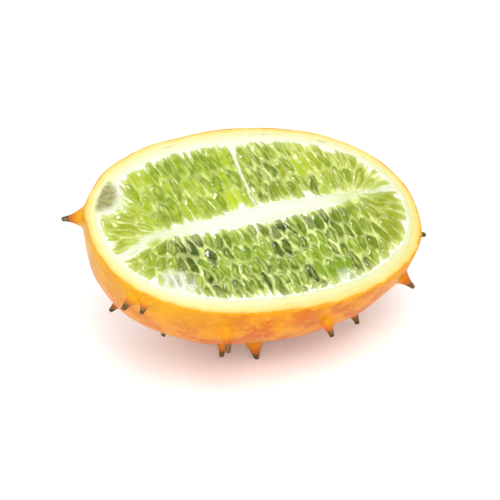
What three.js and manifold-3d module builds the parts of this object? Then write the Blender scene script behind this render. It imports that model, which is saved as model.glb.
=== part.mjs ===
// Half of a horned melon, cut lengthwise and lying on three of its horns with the cut face up.
// Millimetres, +Z up. X runs along the fruit, and the cut face leans towards -Y and dips a little
// towards +X.
// The origin is under the middle of the half, on the surface that it lies on.

import * as THREE from "three";
import { mergeVertices } from "three/addons/utils/BufferGeometryUtils.js";
import Module from "manifold-3d";

const wasm = await Module();
wasm.setup();

// The fruit, in its own frame: X along it, Z square to the cut face and out of it
const HALF_LENGTH = 57; // centre to either end, without horns
const RADIUS = 40; // at the middle
const FULLNESS = 2.2; // exponent of the outline: 2 is an ellipse, and more is blunter
const RIND = 3; // thickness of the orange and yellow wall
const FLESH = 3.5; // thickness of the white wall inside the rind
const GAP = 0.3; // between two pieces that touch
const PROFILE_STEPS = 26;
const ROUND_STEPS = 40;
const INNER_PROFILE_STEPS = 18;
const INNER_ROUND_STEPS = 28;

// How it lies
const LEAN = THREE.MathUtils.degToRad(17); // of the cut face towards -Y
const DIP = THREE.MathUtils.degToRad(6); // of the long axis towards +X
const POSE = new THREE.Euler(LEAN, DIP, 0);
const AXIS_HEIGHT = 44.8; // of the middle of the long axis above the surface
const FOOT_TRIM = 0.8; // of a horn's tip that is pressed flat where the fruit stands on it
const FOOT_REACH = 1.2; // a tip that comes this close to the surface stands on it

// Horns, in rows along the fruit. A row's angle is round the long axis, from straight below
// the cut face, positive towards +Y, and its horns are near the places listed along the fruit.
const HORN_ROWS = [
  { angle: -73, height: 5.6, at: [-49, -20, 15, 45] },
  { angle: -32, height: 8, at: [-1, 33, 54.5] },
  { angle: -2, height: 8, at: [-41, -13, 17, 44] },
  { angle: 22, height: 8, at: [-28, 2, 31] },
  { angle: 47, height: 8, at: [-40, -12, 17, 46] },
  { angle: 72, height: 8, at: [-54, -28, 1, 31] },
];
// Single horns between the rows
const ODD_HORN_ROWS = [
  { angle: -82, height: 4.6, at: [-46] },
  { angle: -33, height: 6.4, at: [-13] },
  { angle: -13, height: 5.6, at: [-27] },
];
const HORN_HEIGHT_VARIES = 0.15; // largest random change, as a share of the height
const HORN_SHIFT = 1.6; // largest random shift along the fruit
const HORN_TURN = 3; // largest random shift round the fruit, in degrees
const HORN_TILT = 0.12; // largest random lean off the surface's normal, as a slope
const HORN_ROOT = 0.6; // radius of the flared root, a little under the skin, as a share of the height
const HORN_TIP = 0.7; // radius of the blunt tip
const HORN_TAPER = 1.7; // exponent of the flank: more is more hollow
const HORN_BURY = 0.9; // from the skin in to the widest part of the root
const HORN_SINK = 3; // from the skin in to the end of the root
const HORN_SIDES = 8;
const HORN_RINGS = 4;
const HORN_SEED = 11;
const ODD_HORN_SEED = 5;

// The white core runs along the cut face
const CORE_MIDDLE = new THREE.Vector2(2.8, 1.4);
const CORE_ANGLE = THREE.MathUtils.degToRad(4.4);
const CORE_START = -42; // from the core's middle to its left end
const CORE_END = 62; // to its right end, which is inside the flesh
const CORE_HALF_THICK = 3.4; // at the middle
const CORE_END_HALF_THICK = 0.6;
const CORE_TAPER_REACH = 44; // from the middle to where the core is down to its end thickness
const CORE_TAPER_POWER = 3.5;
const CORE_STEPS = 24;

// White walls that leave the core and flare where they meet the flesh
const FAR_SEPTUM = { from: new THREE.Vector2(2, 2), to: new THREE.Vector2(4, 40) };
const LEFT_SEPTUM = { from: new THREE.Vector2(-37, -1.6), to: new THREE.Vector2(-56, -11) };
const SEPTUM_HALF_THICK = 0.6;
const SEPTUM_FLARE = 7; // added to the half thickness at the outer end
const SEPTUM_FLARE_POWER = 5;
const SEPTUM_STEPS = 10;

// The flesh is thicker behind the stalk
const STALK_PAD = new THREE.Vector2(-49.5, 20.5);
const STALK_PAD_RADIUS = 9.5;
const STALK_PAD_STEPS = 24;

// Jelly sacs, each round one seed, in half rings on either side of the core and pointing away
// from it. The far side's half rings go on round the right end, and the near side's round the left.
const SAC_HALF_RINGS = [
  { side: 1, count: 5, halfLength: 5.4, firstReach: 8.2, pitchOut: 8.8 },
  { side: -1, count: 6, halfLength: 4.3, firstReach: 7, pitchOut: 6.9 },
];
const SAC_HALF_WIDTH = 1.85;
const SAC_HALF_DEPTH = 2.4;
const SAC_CENTRE_Z = -1.8;
const SAC_PITCH_ALONG = 3.3;
const SAC_FAN_HALF_LENGTH = 34; // the core line's stretch that the rings are drawn round
const SAC_SHIFT_OUT = 1.9; // largest random shift away from the core
const SAC_SHIFT_ALONG = 0.6; // largest random shift along the ring
const SAC_TURN = THREE.MathUtils.degToRad(11); // largest random turn
const SAC_WALL_REACH = 1.2; // how far past a white wall's face a sac's centre may lie
const SAC_SIDES = 6;
const SAC_BANDS = 4;
const SAC_SEED = 29;
const BED_Z = -1.6; // level of the jelly between the sacs

const RIND_COLOUR = 0xf08a1c;
const FLESH_COLOUR = 0xf4f0c9;
const PULP_COLOUR = 0x8fae45;

// A repeatable stream of numbers from 0 to 1
function seeded(seed) {
  let state = seed >>> 0;
  return () => {
    state = (Math.imul(state, 1664525) + 1013904223) >>> 0;
    return state / 4294967296;
  };
}

// A random number from -1 to 1
const either = (random) => 2 * random() - 1;

// Radius of the fruit at x, for a surface that lies inset inside its skin
function radiusAt(x, inset) {
  const share = Math.min(1, Math.abs(x) / (HALF_LENGTH - inset));
  return (RADIUS - inset) * (1 - share ** FULLNESS) ** (1 / FULLNESS);
}

// A closed three.js geometry as a manifold-3d solid
function solidOf(geometry) {
  const bare = geometry.clone();
  bare.deleteAttribute("normal");
  bare.deleteAttribute("uv");
  const merged = mergeVertices(bare);
  const corners = merged.index.array;
  const kept = [];
  for (let i = 0; i < corners.length; i += 3) {
    const [a, b, c] = corners.slice(i, i + 3);
    if (a !== b && b !== c && c !== a) kept.push(a, b, c);
  }
  return new wasm.Manifold(
    new wasm.Mesh({
      numProp: 3,
      vertProperties: merged.attributes.position.array,
      triVerts: new Uint32Array(kept),
    }),
  );
}

// A manifold-3d solid as a named three.js mesh
function meshOf(name, solid, colour, roughness) {
  const { numProp, vertProperties, triVerts } = solid.getMesh();
  if (numProp !== 3) throw new Error(`${name} carries more than positions`);
  const geometry = new THREE.BufferGeometry();
  geometry.setAttribute("position", new THREE.BufferAttribute(vertProperties, 3));
  geometry.setIndex(new THREE.BufferAttribute(triVerts, 1));
  geometry.computeVertexNormals();
  const mesh = new THREE.Mesh(
    geometry,
    new THREE.MeshStandardMaterial({ color: colour, roughness, metalness: 0 }),
  );
  mesh.name = name;
  return mesh;
}

// The whole fruit's round body, inset from its skin
function wholeBody(inset, profileSteps, roundSteps) {
  const profile = [];
  for (let i = 0; i <= profileSteps; i += 1) {
    const x = -(HALF_LENGTH - inset) * Math.cos((Math.PI * i) / profileSteps);
    const atEnd = i === 0 || i === profileSteps;
    profile.push(new THREE.Vector2(atEnd ? 0 : radiusAt(x, inset), x));
  }
  const lathe = new THREE.LatheGeometry(profile, roundSteps);
  return solidOf(lathe.rotateZ(-Math.PI / 2));
}

// Everything from the level z up, as a block far larger than the fruit
function blockAbove(z) {
  const side = 4 * HALF_LENGTH;
  return solidOf(new THREE.BoxGeometry(side, side, side).translate(0, 0, z + side / 2));
}

// The surface that the fruit lies on, as a block below it in the fruit's own frame
function surfaceBlock() {
  const side = 6 * HALF_LENGTH;
  const block = new THREE.BoxGeometry(side, side, side);
  block.translate(0, 0, -AXIS_HEIGHT - side / 2);
  return solidOf(block.applyQuaternion(new THREE.Quaternion().setFromEuler(POSE).invert()));
}

// Height above the surface of a point in the fruit's own frame
const heightOf = (point) => AXIS_HEIGHT + point.clone().applyEuler(POSE).z;

// Where a horn grows from, and which way the skin faces there
function skinAt(x, degrees) {
  const angle = THREE.MathUtils.degToRad(degrees);
  const step = 0.01;
  const slope = (radiusAt(x + step, 0) - radiusAt(x - step, 0)) / (2 * step);
  const outward = new THREE.Vector3(0, Math.sin(angle), -Math.cos(angle));
  const root = outward.clone().multiplyScalar(radiusAt(x, 0)).setX(x);
  const normal = outward.clone().setX(-slope).normalize();
  return { root, normal };
}

// Root, direction, height and root radius of every horn in some rows
function hornPlaces(rows, seed) {
  const random = seeded(seed);
  const planned = [];
  for (const row of rows) {
    for (const place of row.at) {
      planned.push({
        x: place + HORN_SHIFT * either(random),
        angle: row.angle + HORN_TURN * either(random),
        height: row.height * (1 + HORN_HEIGHT_VARIES * either(random)),
      });
    }
  }
  return planned.map(({ x, angle, height }) => {
    const { root, normal } = skinAt(x, angle);
    const tilt = new THREE.Vector3(either(random), either(random), either(random));
    const direction = normal.addScaledVector(tilt, HORN_TILT).normalize();
    const tip = root.clone().addScaledVector(direction, height);
    const drop = heightOf(root) - heightOf(tip);
    const stands = heightOf(tip) < FOOT_REACH;
    return {
      root,
      direction,
      height: stands ? (height * (heightOf(root) + FOOT_TRIM)) / drop : height,
      rootRadius: HORN_ROOT * height,
    };
  });
}

// One horn: a hollow-flanked cone whose root is sunk in the rind
function hornSolid({ root, direction, height, rootRadius }) {
  const profile = [
    new THREE.Vector2(0, -HORN_SINK),
    new THREE.Vector2(rootRadius, -HORN_SINK),
  ];
  for (let i = 0; i <= HORN_RINGS; i += 1) {
    const share = i / HORN_RINGS;
    const flank = (rootRadius - HORN_TIP) * (1 - share) ** HORN_TAPER;
    const level = share * (height + HORN_BURY) - HORN_BURY;
    profile.push(new THREE.Vector2(HORN_TIP + flank, level));
  }
  profile.push(new THREE.Vector2(0, height));
  const up = new THREE.Vector3(0, 1, 0);
  const turn = new THREE.Quaternion().setFromUnitVectors(up, direction);
  const horn = new THREE.LatheGeometry(profile, HORN_SIDES);
  return solidOf(horn.applyQuaternion(turn).translate(root.x, root.y, root.z));
}

// A wall square to the cut face with the outline given, from below the fruit to above it
function uprightSolid(outline) {
  const depth = 3 * RADIUS;
  const settings = { depth, bevelEnabled: false, curveSegments: STALK_PAD_STEPS };
  const wall = new THREE.ExtrudeGeometry(outline, settings);
  return solidOf(wall.translate(0, 0, -depth / 2));
}

// A wall along a line. halfThick gives its half thickness, from 0 at start to 1 at end.
function wallSolid(start, end, halfThick, steps) {
  const along = end.clone().sub(start);
  const across = new THREE.Vector2(-along.y, along.x).normalize();
  const side = (sign) =>
    Array.from({ length: steps + 1 }, (_, i) => {
      const share = i / steps;
      const offset = sign * halfThick(share);
      return start.clone().addScaledVector(along, share).addScaledVector(across, offset);
    });
  return uprightSolid(new THREE.Shape([...side(-1), ...side(1).reverse()]));
}

// A point on the core's middle line, at a distance from the core's middle
function corePoint(distance) {
  const along = new THREE.Vector2(Math.cos(CORE_ANGLE), Math.sin(CORE_ANGLE));
  return CORE_MIDDLE.clone().addScaledVector(along, distance);
}

// The core's half thickness at a distance from its middle
function coreHalfThick(distance) {
  const share = Math.min(1, Math.abs(distance) / CORE_TAPER_REACH);
  const extra = CORE_HALF_THICK - CORE_END_HALF_THICK;
  return CORE_END_HALF_THICK + extra * (1 - share ** CORE_TAPER_POWER);
}

// The core, the septa and the stalk's pad together, each side grown by the amount given
function whiteWalls(grown) {
  const coreThick = (share) =>
    coreHalfThick(THREE.MathUtils.lerp(CORE_START, CORE_END, share)) + grown;
  const core = wallSolid(corePoint(CORE_START), corePoint(CORE_END), coreThick, CORE_STEPS);
  const septumThick = (share) =>
    SEPTUM_HALF_THICK + SEPTUM_FLARE * share ** SEPTUM_FLARE_POWER + grown;
  const septa = [FAR_SEPTUM, LEFT_SEPTUM].map(({ from, to }) =>
    wallSolid(from, to, septumThick, SEPTUM_STEPS),
  );
  const pad = new THREE.Shape();
  pad.absarc(STALK_PAD.x, STALK_PAD.y, STALK_PAD_RADIUS + grown, 0, 2 * Math.PI);
  return wasm.Manifold.union([core, ...septa, uprightSolid(pad)]);
}

// The point at a distance along a half ring on one side of the core, and the angle outwards there.
// The half ring is a straight and a half circle.
function ringPoint(side, reach, distance) {
  const straight = 2 * SAC_FAN_HALF_LENGTH;
  const alongCore = Math.min(distance, straight) - SAC_FAN_HALF_LENGTH;
  const turned = Math.max(0, distance - straight) / reach;
  const angle = CORE_ANGLE + (side * Math.PI) / 2 - turned;
  const outward = new THREE.Vector2(Math.cos(angle), Math.sin(angle));
  return { point: corePoint(side * alongCore).addScaledVector(outward, reach), angle };
}

// Whether a sac centred here shows in the pulp, whole or cut off by a white wall
function inPulp(point) {
  const inset = RIND + FLESH + GAP - SAC_WALL_REACH;
  const inside = Math.abs(point.x) < HALF_LENGTH - inset;
  if (!inside || Math.abs(point.y) > radiusAt(point.x, inset)) return false;
  const offset = point.clone().sub(CORE_MIDDLE).rotateAround(new THREE.Vector2(), -CORE_ANGLE);
  return Math.abs(offset.y) > coreHalfThick(offset.x) - SAC_WALL_REACH;
}

// Centre, angle and half length of every jelly sac in one half ring
function halfRingPlaces({ side, halfLength }, reach, offset, random) {
  const length = 2 * SAC_FAN_HALF_LENGTH + Math.PI * reach;
  const count = Math.floor(length / SAC_PITCH_ALONG);
  return Array.from({ length: count }, (_, i) => {
    const { point, angle } = ringPoint(side, reach, (length * (i + offset)) / count);
    const outward = new THREE.Vector2(Math.cos(angle), Math.sin(angle));
    const along = new THREE.Vector2(-outward.y, outward.x);
    point.addScaledVector(outward, SAC_SHIFT_OUT * either(random));
    point.addScaledVector(along, SAC_SHIFT_ALONG * either(random));
    return { point, angle: angle + SAC_TURN * either(random), halfLength };
  });
}

// All sacs that show on the cut face
function sacPlaces() {
  const random = seeded(SAC_SEED);
  const places = SAC_HALF_RINGS.flatMap((kind) =>
    Array.from({ length: kind.count }, (_, ring) =>
      halfRingPlaces(kind, kind.firstReach + ring * kind.pitchOut, 0.5 * (ring % 2), random),
    ).flat(),
  );
  return places.filter(({ point }) => inPulp(point));
}

// One jelly sac, an egg that lies along the cut face
function sacSolid({ point, angle, halfLength }) {
  const sac = new THREE.SphereGeometry(1, SAC_SIDES, SAC_BANDS);
  sac.rotateX(Math.PI / 2).scale(halfLength, SAC_HALF_WIDTH, SAC_HALF_DEPTH);
  return solidOf(sac.rotateZ(angle).translate(point.x, point.y, SAC_CENTRE_Z));
}

// The horned rind, hollowed and cut
function makeRind() {
  const places = [
    ...hornPlaces(HORN_ROWS, HORN_SEED),
    ...hornPlaces(ODD_HORN_ROWS, ODD_HORN_SEED),
  ];
  const horns = places.map(hornSolid);
  const grown = wasm.Manifold.union([wholeBody(0, PROFILE_STEPS, ROUND_STEPS), ...horns]);
  const solid = grown
    .subtract(wholeBody(RIND, INNER_PROFILE_STEPS, INNER_ROUND_STEPS))
    .subtract(blockAbove(0))
    .subtract(surfaceBlock());
  return meshOf("rind", solid, RIND_COLOUR, 0.42);
}

// The white flesh: a wall inside the rind, with the core, septa and pad that leave rooms for pulp
function makeFlesh() {
  const outer = wholeBody(RIND + GAP, INNER_PROFILE_STEPS, INNER_ROUND_STEPS);
  const inner = wholeBody(RIND + FLESH, INNER_PROFILE_STEPS, INNER_ROUND_STEPS);
  const rooms = inner.subtract(whiteWalls(0));
  return meshOf("flesh", outer.subtract(rooms).subtract(blockAbove(0)), FLESH_COLOUR, 0.5);
}

// The pulp that fills each room: sacs that stand out of a bed of jelly
function makePulp() {
  const room = wholeBody(RIND + FLESH + GAP, INNER_PROFILE_STEPS, INNER_ROUND_STEPS);
  const bed = room.subtract(blockAbove(BED_Z));
  const sacs = sacPlaces().map(sacSolid);
  const pulp = wasm.Manifold.union([bed, ...sacs]).intersect(room).subtract(whiteWalls(GAP));
  return pulp.decompose().map((lobe) => {
    const { min, max } = lobe.boundingBox();
    const left = (min[0] + max[0]) / 2 < FAR_SEPTUM.from.x;
    const far = left ? "pulp_far_left" : "pulp_far_right";
    return meshOf(min[1] + max[1] < 0 ? "pulp_near" : far, lobe, PULP_COLOUR, 0.3);
  });
}

// The half in its own frame, leant back and raised to stand on its horns
const fruit = new THREE.Group();
fruit.add(makeRind(), makeFlesh(), ...makePulp());
fruit.rotation.copy(POSE);
fruit.position.z = AXIS_HEIGHT;

const melon = new THREE.Group();
melon.add(fruit);
melon.updateMatrixWorld(true);
const middle = new THREE.Box3().setFromObject(melon, true).getCenter(new THREE.Vector3());
fruit.position.x -= middle.x;
fruit.position.y -= middle.y;

export default melon;
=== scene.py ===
"""Looks of half a horned melon, cut lengthwise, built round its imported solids.

Shapes are worked out in the fruit's own frame, in millimetres: X runs along the fruit, and Z is square
to the cut face and points out of it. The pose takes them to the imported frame, in metres.
"""

import logging
import math
from dataclasses import dataclass
from enum import Enum, IntEnum
from functools import cached_property

import bmesh
import bpy
import numpy as np
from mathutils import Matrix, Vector, noise
from mathutils.geometry import delaunay_2d_cdt


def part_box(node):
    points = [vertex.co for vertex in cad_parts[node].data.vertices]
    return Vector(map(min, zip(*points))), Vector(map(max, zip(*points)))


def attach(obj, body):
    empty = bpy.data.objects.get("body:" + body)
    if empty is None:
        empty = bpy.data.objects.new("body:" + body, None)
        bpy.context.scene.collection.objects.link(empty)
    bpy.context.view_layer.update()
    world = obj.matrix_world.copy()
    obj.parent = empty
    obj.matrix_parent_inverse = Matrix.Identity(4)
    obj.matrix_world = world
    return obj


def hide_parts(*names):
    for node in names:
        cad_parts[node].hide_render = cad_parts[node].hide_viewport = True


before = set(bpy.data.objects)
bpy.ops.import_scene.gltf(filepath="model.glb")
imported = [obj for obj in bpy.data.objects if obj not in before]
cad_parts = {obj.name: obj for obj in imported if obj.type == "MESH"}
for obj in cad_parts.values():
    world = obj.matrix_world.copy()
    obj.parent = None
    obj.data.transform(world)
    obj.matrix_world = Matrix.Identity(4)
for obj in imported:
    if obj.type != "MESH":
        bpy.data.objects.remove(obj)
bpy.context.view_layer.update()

LOG = logging.getLogger("horned_melon")
Array = np.ndarray
Colour = tuple[float, float, float, float]
FlatPlace = tuple[float, float]
Place = tuple[float, float, float]
Span = tuple[float, float]

MM = 0.001

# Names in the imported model
BODY = "root"
RIND_NODE = "rind"
FLESH_NODE = "flesh"

# Lengths, in millimetres
RIND_THICKNESS = 3.0
SOLIDS_GAP = 0.3
SEAM = 0.02
MERGE_DISTANCE = 0.002

# How fine the meshes are
RIM_POINTS = 240
INSIDE_RINGS = 12
FEWEST_RING_POINTS = 6
GRID_CLEAR = 0.6
SHARP_ANGLE = math.radians(62.0)

# Noise, and limits of the sums
FIELDS_APART = 37.3
NOISE_MIDDLE = 0.5
SAME_POINT = 1e-9
NEAR_ZERO = 1e-6


class Slot(Enum):
    """Material slots of the record."""

    RIND = "rind"
    FLESH = "flesh"
    PULP = "pulp"


class Room(Enum):
    """Rooms of the cut face, by the node that fills each."""

    NEAR = "pulp_near"
    FAR_LEFT = "pulp_far_left"
    FAR_RIGHT = "pulp_far_right"


class Inside(Enum):
    """What a triangulation keeps of the area round its loops."""

    HULL = 0
    LOOP = 1
    LOOP_WITHOUT_HOLES = 2


class NoiseField(IntEnum):
    """Fields of smooth noise, each with a pattern of its own."""

    LUMPS = 1
    FINE_LUMPS = 2
    CUT_FACE = 3
    HORN_RIPPLE = 4
    WALL_ALONG = 5
    WALL_ACROSS = 6
    FINE_STREAKS = 7
    SAC_ALONG = 8
    SAC_ACROSS = 9
    FIBRES = 10
    SAC_RIPPLE = 11
    FINE_WALL_ALONG = 12
    FINE_WALL_ACROSS = 13
    COARSE_STREAKS = 14
    TONE = 15


class SacDraw(IntEnum):
    """Random shares that each sac draws, in order."""

    TONE = 0
    HEIGHT = 1
    BULGE = 2
    LEAN_ALONG = 3
    LEAN_ACROSS = 4
    SEED_PLACE = 5
    SEED_SHARE = 6


def linear(red: float, green: float, blue: float) -> Colour:
    """Turn a display colour of 0 to 255 into the linear colour that shaders use.

    Args:
        red: Red share.
        green: Green share.
        blue: Blue share.

    Returns:
        The colour with an alpha of 1.
    """
    shares = [share / 255.0 for share in (red, green, blue)]
    bright = [s / 12.92 if s <= 0.04045 else ((s + 0.055) / 1.055) ** 2.4 for s in shares]
    return (bright[0], bright[1], bright[2], 1.0)


def smooth_step(span: Span, values: Array) -> Array:
    """Rise smoothly from 0 at the start of a span to 1 at its end."""
    share = np.clip((values - span[0]) / (span[1] - span[0]), 0.0, 1.0)
    return share * share * (3.0 - 2.0 * share)


def circle(count: int, turn: float = 0.0) -> Array:
    """Give points on the unit circle, the first one turned by a share of a step."""
    angles = 2.0 * math.pi * (np.arange(count) + turn) / count
    return np.column_stack((np.cos(angles), np.sin(angles)))


def disk_rings(rings: int, rim: int) -> Array:
    """Fill the unit disk with rings of points, from the rim to the middle.

    Args:
        rings: Number of rings.
        rim: Points on the rim, which come first.

    Returns:
        The points.
    """
    rows = [circle(rim)]
    for ring in range(1, rings):
        share = 1.0 - ring / rings
        rows.append(share * circle(max(FEWEST_RING_POINTS, round(rim * share)), 0.5 * (ring % 2)))
    rows.append(np.zeros((1, 2)))
    return np.concatenate(rows)


def disk_directions(disk: Array) -> Array:
    """Wrap the unit disk round the lower half of the unit sphere, its rim to the cut face.

    Args:
        disk: Points of the disk.

    Returns:
        A unit vector for each point.
    """
    reach = np.linalg.norm(disk, axis=1)
    fall = 0.5 * math.pi * reach
    flat = disk * (np.sin(fall) / np.maximum(reach, NEAR_ZERO))[:, None]
    return np.column_stack((flat, -np.cos(fall)))


def directions_disk(directions: Array) -> Array:
    """Undo disk_directions.

    Args:
        directions: Unit vectors.

    Returns:
        The point of the unit disk for each.
    """
    reach = np.arccos(np.clip(-directions[:, 2], -1.0, 1.0)) / (0.5 * math.pi)
    across = np.maximum(np.linalg.norm(directions[:, :2], axis=1), NEAR_ZERO)
    return directions[:, :2] * (reach / across)[:, None]


def hex_grid(loop: Array, spacing: float) -> Array:
    """Cover the box of a loop with a grid of triangles.

    Args:
        loop: Points of the loop.
        spacing: Distance between two points of the grid.

    Returns:
        The points of the grid.
    """
    low, high = loop.min(axis=0), loop.max(axis=0)
    rise = spacing * math.sqrt(0.75)
    rows = []
    for number, y in enumerate(np.arange(low[1], high[1], rise)):
        x = np.arange(low[0] + 0.5 * spacing * (number % 2), high[0], spacing)
        rows.append(np.column_stack((x, np.full(len(x), y))))
    return np.concatenate(rows)


def inside(points: Array, loop: Array) -> Array:
    """Tell which points lie inside a loop, by counting the sides that a level line crosses.

    Args:
        points: Points to test.
        loop: Points of the loop, in order.

    Returns:
        True for each point inside.
    """
    x, y = points.T
    result = np.zeros(len(points), dtype=bool)
    for (x0, y0), (x1, y1) in zip(loop, np.roll(loop, -1, axis=0)):
        crosses = (y0 > y) != (y1 > y)
        rise = y1 - y0 if y1 != y0 else 1.0
        result ^= crosses & (x < x0 + (y - y0) * (x1 - x0) / rise)
    return result


def distance_to(points: Array, others: Array) -> Array:
    """Give each point's distance to the nearest of some other points."""
    gaps = points[:, None, :] - others[None, :, :]
    return np.sqrt(np.min(np.sum(gaps * gaps, axis=2), axis=1))


def fill_loop(loop: Array, spacing: float, clear: float, holes: list[Array] | None = None) -> Array:
    """Fill a loop with a grid of triangles.

    Args:
        loop: Points of the loop.
        spacing: Distance between two points of the grid.
        clear: Least distance of the grid from the loop and from the holes.
        holes: Loops that stay empty.

    Returns:
        The points of the loop, of the holes and of the grid.
    """
    holes = holes or []
    edges = np.concatenate([loop, *holes])
    grid = hex_grid(loop, spacing)
    grid = grid[inside(grid, loop)]
    for hole in holes:
        grid = grid[~inside(grid, hole)]
    return np.concatenate((edges, grid[distance_to(grid, edges) > clear]))


def even_loop(loop: Array, spacing: float) -> Array:
    """Space the points of a closed loop evenly.

    Args:
        loop: Points of the loop.
        spacing: Distance between two points.

    Returns:
        The new points.
    """
    closed = np.concatenate((loop, loop[:1]))
    lengths = np.concatenate(([0.0], np.cumsum(np.linalg.norm(np.diff(closed, axis=0), axis=1))))
    count = round(lengths[-1] / spacing)
    places = lengths[-1] * np.arange(count) / count
    return np.column_stack([np.interp(places, lengths, closed[:, axis]) for axis in range(2)])


def shrink_loop(loop: Array, distance: float) -> Array:
    """Move the points of a loop inward.

    Args:
        loop: Points of the loop, anticlockwise.
        distance: How far they move.

    Returns:
        The new points.
    """
    way = np.roll(loop, -1, axis=0) - np.roll(loop, 1, axis=0)
    inward = np.column_stack((-way[:, 1], way[:, 0])) / np.linalg.norm(way, axis=1)[:, None]
    return loop + distance * inward


def triangulate(points: Array, loops: list[int], keep: Inside) -> Array:
    """Join flat points with Delaunay triangles.

    Args:
        points: The points, with those of the loops first.
        loops: Number of points in each loop, in order.
        keep: What is kept of the area.

    Returns:
        Rows of three point numbers.
    """
    starts = np.cumsum([0] + loops)
    outlines = [list(range(start, start + count)) for start, count in zip(starts, loops)]
    flat = [Vector(point) for point in points.tolist()]
    _, _, triangles, origins, _, _ = delaunay_2d_cdt(flat, [], outlines, keep.value, SAME_POINT)
    numbers = np.array([origin[0] for origin in origins])
    return numbers[np.array(triangles)]


def strip(count: int, first: int, second: int) -> Array:
    """Join two closed rings of points with four-sided faces.

    Args:
        count: Points in each ring.
        first: Number of the first ring's first point.
        second: Number of the second ring's first point.

    Returns:
        Rows of four point numbers.
    """
    here = np.arange(count)
    after = (here + 1) % count
    return np.column_stack((first + here, first + after, second + after, second + here))


def add_object(name: str, data: bpy.types.ID) -> bpy.types.Object:
    """Put an object in the scene.

    Args:
        name: Name of the object.
        data: The mesh, light or camera that it holds.

    Returns:
        The object.
    """
    made = bpy.data.objects.new(name, data)
    bpy.context.scene.collection.objects.link(made)
    return made


class Stream:
    """A repeatable stream of random numbers, each worked out from the one before."""

    FACTOR = 1664525
    STEP = 1013904223
    STATES = 2**32

    def __init__(self, seed: int) -> None:
        """Start the stream."""
        self.state = seed

    def share(self) -> float:
        """Draw a number from 0 to 1."""
        self.state = (self.state * self.FACTOR + self.STEP) % self.STATES
        return self.state / self.STATES

    def either(self) -> float:
        """Draw a number from -1 to 1."""
        return 2.0 * self.share() - 1.0


@dataclass(frozen=True)
class Wave:
    """Smooth noise: its height, the width of a wave, and its field."""

    height: float
    size: float
    field: NoiseField

    def at(self, points: Array) -> Array:
        """Work out the noise at points.

        Args:
            points: Rows of two or three coordinates.

        Returns:
            A value of about -height to height for each point.
        """
        rows = np.full((len(points), 3), FIELDS_APART * self.field)
        rows[:, : points.shape[1]] += points / self.size
        return self.height * np.array([noise.noise(Vector(row)) for row in rows.tolist()])


@dataclass(frozen=True)
class Warp:
    """Noise that bends flat shapes, with a wave for each axis."""

    along: Wave
    across: Wave

    def shift(self, points: Array) -> Array:
        """Give the shift of flat points."""
        return np.column_stack((self.along.at(points), self.across.at(points)))


@dataclass(frozen=True)
class FruitShape:
    """The smooth body of the fruit, and the surfaces that lie a given inset under its skin."""

    half_length: float = 57.0
    radius: float = 40.0
    fullness: float = 2.2

    def radius_at(self, x: Array, inset: float = 0.0) -> Array:
        """Give the radius at places along the fruit, under an inset."""
        share = np.minimum(1.0, np.abs(x) / (self.half_length - inset))
        return (self.radius - inset) * (1.0 - share**self.fullness) ** (1.0 / self.fullness)

    def half_sizes(self, inset: float = 0.0) -> Array:
        """Give the half sizes of the surface under an inset."""
        return np.array([self.half_length - inset, self.radius - inset, self.radius - inset])

    def on_skin(self, directions: Array, inset: float = 0.0) -> Array:
        """Find the surface in given directions.

        Args:
            directions: Unit vectors of the round form that the surface is stretched from.
            inset: Depth of the surface under the skin.

        Returns:
            A point of the surface for each direction.
        """
        across = np.hypot(directions[:, 1], directions[:, 2])
        along = np.abs(directions[:, 0])
        size = (along**self.fullness + across**self.fullness) ** (-1.0 / self.fullness)
        return directions * size[:, None] * self.half_sizes(inset)

    def rim(self, inset: float) -> Array:
        """Give the flat outline of the cut face under an inset."""
        return self.on_skin(disk_directions(circle(RIM_POINTS)), inset)[:, :2]

    def direction_of(self, points: Array) -> Array:
        """Give the directions of points on the skin, as on_skin takes them."""
        scaled = points / self.half_sizes()
        return scaled / np.linalg.norm(scaled, axis=1)[:, None]

    def normal_at(self, points: Array) -> Array:
        """Give the skin's outward normals.

        Args:
            points: Points on the skin.

        Returns:
            A unit vector for each point.
        """
        across = np.maximum(np.hypot(points[:, 1], points[:, 2]), NEAR_ZERO)
        power = self.fullness - 1.0
        end_on = np.sign(points[:, 0]) * (np.abs(points[:, 0]) / self.half_length) ** power
        side_on = (across / self.radius) ** power / self.radius / across
        slopes = np.column_stack((end_on / self.half_length, side_on * points[:, 1], side_on * points[:, 2]))
        return slopes / np.linalg.norm(slopes, axis=1)[:, None]

    def depth_on_cut(self, points: Array, inset: float = 0.0, end_inset: float | None = None) -> Array:
        """Measure how far points of the cut face lie inside an outline.

        Args:
            points: Flat points of the cut face.
            inset: Depth of the outline under the skin.
            end_inset: Its depth at the ends of the fruit, where that differs.

        Returns:
            About the distance to the outline, positive inside it.
        """
        ends = inset if end_inset is None else end_inset
        half = np.array([self.half_length - ends, self.radius - inset])
        scaled = np.maximum(np.abs(points) / half, NEAR_ZERO)
        reach = np.sum(scaled**self.fullness, axis=1) ** (1.0 / self.fullness)
        slopes = (scaled / reach[:, None]) ** (self.fullness - 1.0) / half
        return (1.0 - reach) / np.linalg.norm(slopes, axis=1)

    def floor_under(self, points: Array, inset: float) -> Array:
        """Give the level of the surface under an inset, straight below points of the cut face."""
        room = self.radius_at(points[:, 0], inset) ** 2 - points[:, 1] ** 2
        return -np.sqrt(np.maximum(room, 0.0))


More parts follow.
